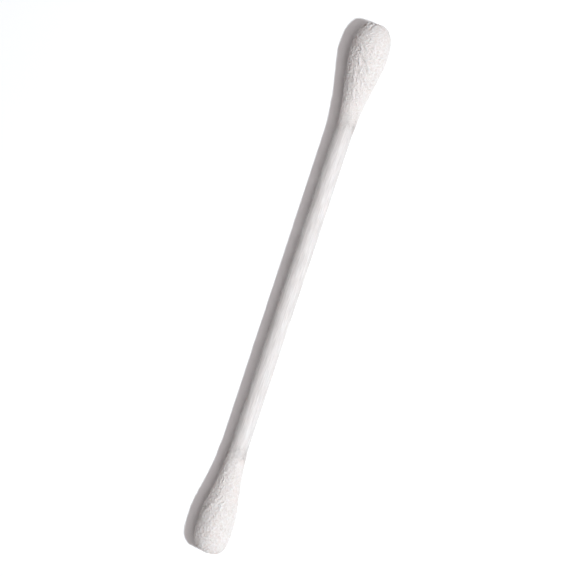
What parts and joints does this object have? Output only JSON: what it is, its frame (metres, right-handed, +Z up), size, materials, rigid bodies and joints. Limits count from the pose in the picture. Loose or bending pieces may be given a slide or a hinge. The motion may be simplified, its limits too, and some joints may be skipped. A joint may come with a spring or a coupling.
{
  "type": "cotton swab",
  "caption": "Double-ended swab: a straight rolled paper stick with a wound cotton tip on each end, one a little fuller than the other, lying on its tips.",
  "frame": {"origin": "on the surface that the swab lies on, under the middle of its length and width", "axes": "+X along the swab from the slim tip to the full tip, +Z up from the surface, +Y across it"},
  "size_m": [0.076, 0.0054, 0.0052],
  "materials": {
    "paper": "matte white rolled paper, faintly streaked along its length",
    "cotton": "matte bleached cotton, wound and pressed, with fine loose fibres"
  },
  "bodies": {
    "root": {"paper_stem": "paper", "full_cotton_tip": "cotton", "slim_cotton_tip": "cotton"}
  },
  "joints": []
}
